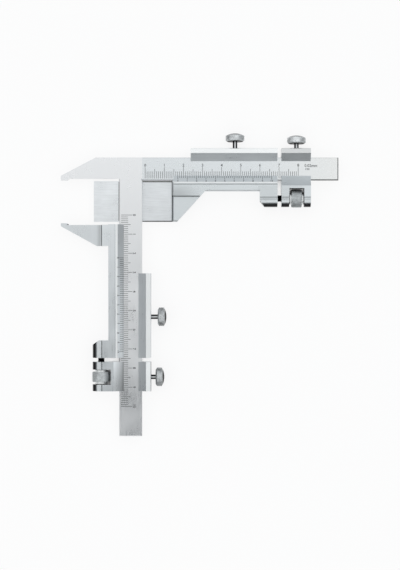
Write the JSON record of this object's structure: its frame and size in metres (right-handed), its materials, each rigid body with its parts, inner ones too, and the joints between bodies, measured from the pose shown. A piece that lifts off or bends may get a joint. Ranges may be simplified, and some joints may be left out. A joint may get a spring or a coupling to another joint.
{
  "type": "gear tooth caliper",
  "caption": "Gear tooth caliper with two graduated beams at right angles, a moving jaw for tooth thickness, a tongue for tooth height, fine adjustments and locking screws.",
  "frame": {"origin": "tip of the fixed jaw on its measuring face, in the middle plane of the beams", "axes": "+X along the height beam away from the jaws' tips, +Y from the fixed jaw's measuring face into the jaw, +Z out of the graduated face"},
  "size_m": [0.1452, 0.1584, 0.0098],
  "materials": {
    "satin_chromed_steel": "satin hard chrome",
    "ground_steel": "fine ground",
    "plain_steel": "turned",
    "knurled_steel": "knurled, satin nickel",
    "blackened_steel": "black oxide, oiled",
    "spring_bronze": "rolled strip"
  },
  "bodies": {
    "frame": {"thickness_beam": "satin_chromed_steel", "height_beam": "satin_chromed_steel"},
    "thickness_clamp": {"thickness_clamp": "satin_chromed_steel", "thickness_clamp_gib": "spring_bronze"},
    "thickness_slider": {"thickness_slider": "satin_chromed_steel", "thickness_gib": "spring_bronze", "thickness_adjusting_screw": "blackened_steel", "thickness_adjusting_screw_pin": "plain_steel"},
    "thickness_nut": {"thickness_adjusting_nut": "knurled_steel"},
    "thickness_lock": {"thickness_locking_screw": "knurled_steel"},
    "thickness_clamp_lock": {"thickness_clamp_screw": "knurled_steel"},
    "height_clamp": {"height_clamp": "satin_chromed_steel", "height_clamp_gib": "spring_bronze"},
    "height_slider": {"height_slider": "satin_chromed_steel", "tongue": "ground_steel", "tongue_screws": "plain_steel", "height_gib": "spring_bronze", "height_adjusting_screw": "blackened_steel", "height_adjusting_screw_pin": "plain_steel"},
    "height_nut": {"height_adjusting_nut": "knurled_steel"},
    "height_lock": {"height_locking_screw": "knurled_steel"},
    "height_clamp_lock": {"height_clamp_screw": "knurled_steel"}
  },
  "joints": [
    {"name": "thickness_coarse", "type": "slide", "parent": "frame", "child": "thickness_clamp", "axis": [0, -1, 0], "range_m": [-0.0214, 0.0225]},
    {"name": "thickness_nut_turn", "type": "hinge", "parent": "thickness_clamp", "child": "thickness_nut", "pos_m": [0.0211, -0.10275, 0], "axis": [0, -1, 0], "range_deg": [-720, 720]},
    {"name": "thickness_fine", "type": "slide", "parent": "thickness_clamp", "child": "thickness_slider", "axis": [0, -1, 0], "range_m": [-0.001, 0.001]},
    {"name": "thickness_lock_turn", "type": "hinge", "parent": "thickness_slider", "child": "thickness_lock", "pos_m": [0.0466, -0.0713, 0], "axis": [1, 0, 0], "range_deg": [0, 720]},
    {"name": "thickness_clamp_lock_turn", "type": "hinge", "parent": "thickness_clamp", "child": "thickness_clamp_lock", "pos_m": [0.0466, -0.10275, 0], "axis": [1, 0, 0], "range_deg": [0, 720]},
    {"name": "height_coarse", "type": "slide", "parent": "frame", "child": "height_clamp", "axis": [1, 0, 0], "range_m": [-0.0147, 0.0136]},
    {"name": "height_nut_turn", "type": "hinge", "parent": "height_clamp", "child": "height_nut", "pos_m": [0.12325, -0.0094, 0], "axis": [1, 0, 0], "range_deg": [-720, 720]},
    {"name": "height_fine", "type": "slide", "parent": "height_clamp", "child": "height_slider", "axis": [1, 0, 0], "range_m": [-0.001, 0.001]},
    {"name": "height_lock_turn", "type": "hinge", "parent": "height_slider", "child": "height_lock", "pos_m": [0.0911, 0.0161, 0], "axis": [0, 1, 0], "range_deg": [0, 720]},
    {"name": "height_clamp_lock_turn", "type": "hinge", "parent": "height_clamp", "child": "height_clamp_lock", "pos_m": [0.12325, 0.0161, 0], "axis": [0, 1, 0], "range_deg": [0, 720]}
  ],
  "couplings": [
    {"joint": "thickness_nut_turn", "follows": "thickness_fine", "rad_per_m": -12566},
    {"joint": "height_nut_turn", "follows": "height_fine", "rad_per_m": -12566}
  ]
}
